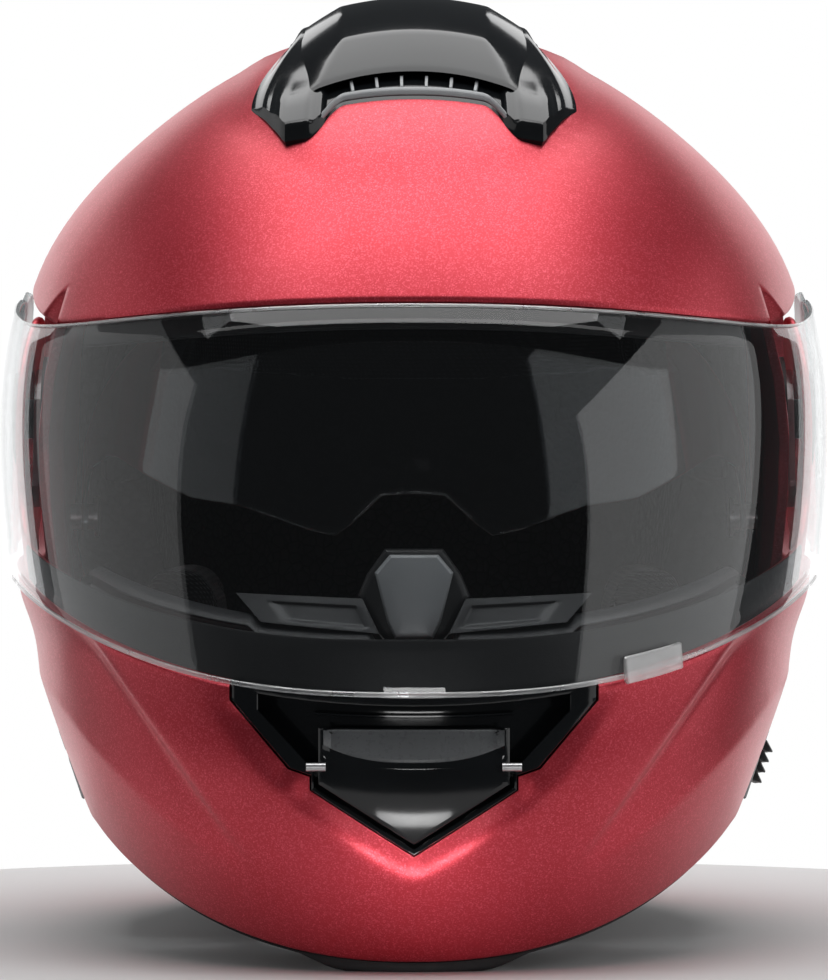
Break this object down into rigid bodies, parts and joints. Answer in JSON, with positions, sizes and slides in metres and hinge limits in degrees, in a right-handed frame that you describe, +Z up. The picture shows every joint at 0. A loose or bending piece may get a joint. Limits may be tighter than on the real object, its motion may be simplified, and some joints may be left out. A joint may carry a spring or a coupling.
{
  "type": "motorcycle helmet",
  "caption": "Flip-up motorcycle helmet with hinged chin bar, clear face shield, drop-down sun visor, sliding crown vent, chin vent door, padding and ratchet strap",
  "frame": {"origin": "centre of the resting plane under the helmet", "axes": "+Z up, the face opening looks along -Y, +X is the wearer's left"},
  "size_m": [0.251, 0.3377, 0.2813],
  "materials": {
    "shell_paint": "satin metallic paint",
    "black_gloss": "gloss",
    "black_satin": "satin",
    "grey_plastic": "satin",
    "seal_rubber": "matte",
    "foam_liner": "expanded foam",
    "comfort_fabric": "brushed knit",
    "webbing": "woven",
    "steel": "satin",
    "clear_lens": "clear",
    "smoke_lens": "smoke",
    "red_plastic": "gloss"
  },
  "bodies": {
    "shell": {"outer_shell": "shell_paint", "brow_gasket": "seal_rubber", "neck_trim": "seal_rubber", "impact_liner": "foam_liner", "crown_pad": "comfort_fabric", "neck_roll": "comfort_fabric", "cheek_block_left": "foam_liner", "cheek_block_right": "foam_liner", "cheek_pad_left": "comfort_fabric", "cheek_pad_right": "comfort_fabric", "top_vent_base": "black_gloss", "rear_vent": "black_satin", "pivot_plate_left": "black_satin", "pivot_plate_right": "black_satin", "pivot_screws": "steel", "sun_visor_pivots": "steel", "visor_lever_cover": "grey_plastic", "side_cover_right": "grey_plastic", "strap_left": "webbing", "strap_right": "webbing", "strap_rivets": "steel", "buckle_base": "steel", "ratchet_tongue": "black_satin", "latch_strikers": "steel"},
    "chin_bar": {"chin_bar_shell": "shell_paint", "hinge_arm_left": "steel", "hinge_arm_right": "steel", "hinge_rivets": "steel", "chin_rim": "black_satin", "chin_liner": "foam_liner", "breath_deflector": "black_satin", "chin_vent_frame": "black_gloss", "chin_vent_mesh": "grey_plastic", "chin_vent_pins": "steel", "chin_trim": "seal_rubber", "chin_curtain": "comfort_fabric", "release_housing": "black_satin", "latch_pins": "steel"},
    "shield": {"face_shield": "clear_lens", "shield_tab": "clear_lens", "shield_hub_left": "grey_plastic", "shield_hub_right": "grey_plastic"},
    "sun_visor": {"sun_visor": "smoke_lens"},
    "visor_lever": {"visor_lever": "black_satin"},
    "top_vent_slider": {"top_vent_slider": "black_gloss"},
    "chin_vent_door": {"chin_vent_door": "black_gloss"},
    "release_button": {"release_button": "red_plastic"},
    "latch_hook_left": {"latch_hook_left": "steel"},
    "latch_hook_right": {"latch_hook_right": "steel"},
    "buckle_lever": {"buckle_lever": "red_plastic"}
  },
  "joints": [
    {"name": "chin_bar_hinge", "type": "hinge", "parent": "shell", "child": "chin_bar", "pos_m": [0, 0.006, 0.155], "axis": [-1, 0, 0], "range_deg": [0, 70]},
    {"name": "shield_hinge", "type": "hinge", "parent": "chin_bar", "child": "shield", "pos_m": [0, 0.006, 0.155], "axis": [-1, 0, 0], "range_deg": [0, 45]},
    {"name": "sun_visor_hinge", "type": "hinge", "parent": "shell", "child": "sun_visor", "pos_m": [0, 0.01, 0.125], "axis": [-1, 0, 0], "range_deg": [0, 27]},
    {"name": "visor_lever_slide", "type": "slide", "parent": "shell", "child": "visor_lever", "axis": [0, 1, 0], "range_m": [0, 0.012]},
    {"name": "top_vent_slide", "type": "hinge", "parent": "shell", "child": "top_vent_slider", "pos_m": [0, 0, 0.15], "axis": [-1, 0, 0], "range_deg": [0, 3.5]},
    {"name": "chin_vent_hinge", "type": "hinge", "parent": "chin_bar", "child": "chin_vent_door", "pos_m": [0, -0.1652, 0.058], "axis": [-1, 0, 0], "range_deg": [0, 12]},
    {"name": "release_button_slide", "type": "slide", "parent": "chin_bar", "child": "release_button", "axis": [0, 0, 1], "range_m": [0, 0.0035], "stiffness_N_per_m": 1200, "springref_m": -0.0004},
    {"name": "latch_hook_left_hinge", "type": "hinge", "parent": "chin_bar", "child": "latch_hook_left", "pos_m": [0, -0.0465, 0.07], "axis": [1, 0, 0], "range_deg": [0, 12]},
    {"name": "latch_hook_right_hinge", "type": "hinge", "parent": "chin_bar", "child": "latch_hook_right", "pos_m": [0, -0.0465, 0.07], "axis": [1, 0, 0], "range_deg": [0, 12]},
    {"name": "buckle_lever_hinge", "type": "hinge", "parent": "shell", "child": "buckle_lever", "pos_m": [0.012, -0.034, 0.0196], "axis": [0, 1, 0], "range_deg": [0, 40]}
  ],
  "couplings": [
    {"joint": "visor_lever_slide", "follows": "sun_visor_hinge", "m_per_rad": 0.025},
    {"joint": "latch_hook_left_hinge", "follows": "release_button_slide", "rad_per_m": 55},
    {"joint": "latch_hook_right_hinge", "follows": "release_button_slide", "rad_per_m": 55}
  ]
}
